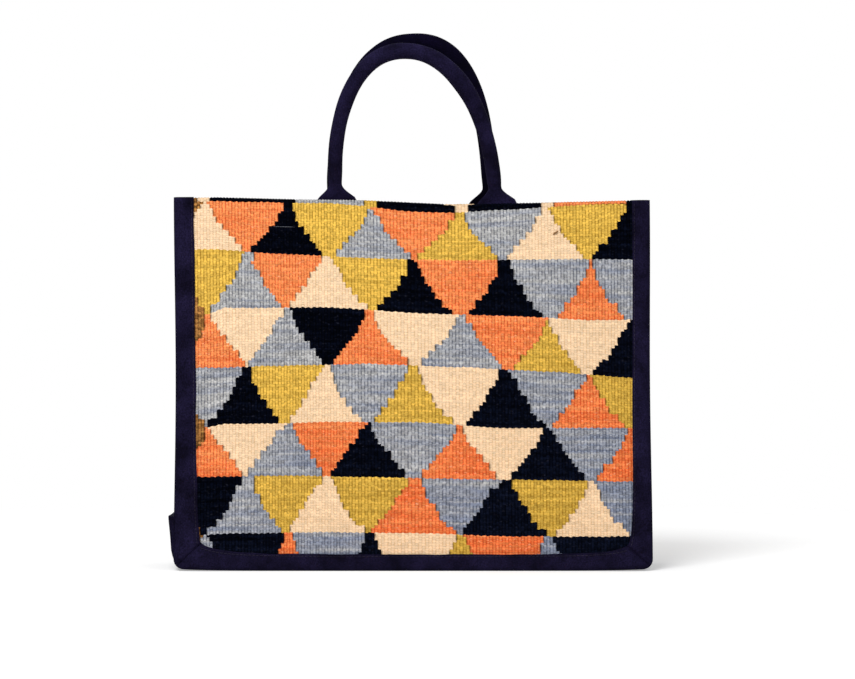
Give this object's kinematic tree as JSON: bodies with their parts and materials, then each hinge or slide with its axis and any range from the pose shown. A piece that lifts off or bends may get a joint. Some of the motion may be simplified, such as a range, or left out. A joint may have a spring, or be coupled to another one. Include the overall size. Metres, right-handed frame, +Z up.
{
  "type": "kilim briefcase bag",
  "caption": "Open-topped briefcase-size bag of woven triangle-pattern kilim panels with a navy cloth border, pleated sides, a stiffened base and rolled handles.",
  "frame": {"origin": "on the floor under the middle of the base", "axes": "+Z up, +X to the right of the front, -Y out of the front panel"},
  "size_m": [0.4, 0.1405, 0.4582],
  "materials": {
    "kilim": "weft-faced wool weave, matt, ribbed",
    "navy_cloth": "napped navy cloth, matt",
    "lining_cotton": "plain cotton, matt",
    "greyboard": "uncoated board, matt"
  },
  "bodies": {
    "root": {"front_panel": "kilim", "back_panel": "kilim", "front_left_border": "navy_cloth", "front_base_border": "navy_cloth", "front_right_border": "navy_cloth", "back_left_border": "navy_cloth", "back_base_border": "navy_cloth", "back_right_border": "navy_cloth", "gusset": "navy_cloth", "base_strip": "navy_cloth", "front_handle": "navy_cloth", "back_handle": "navy_cloth", "lining": "lining_cotton", "base_board": "greyboard"}
  },
  "joints": []
}
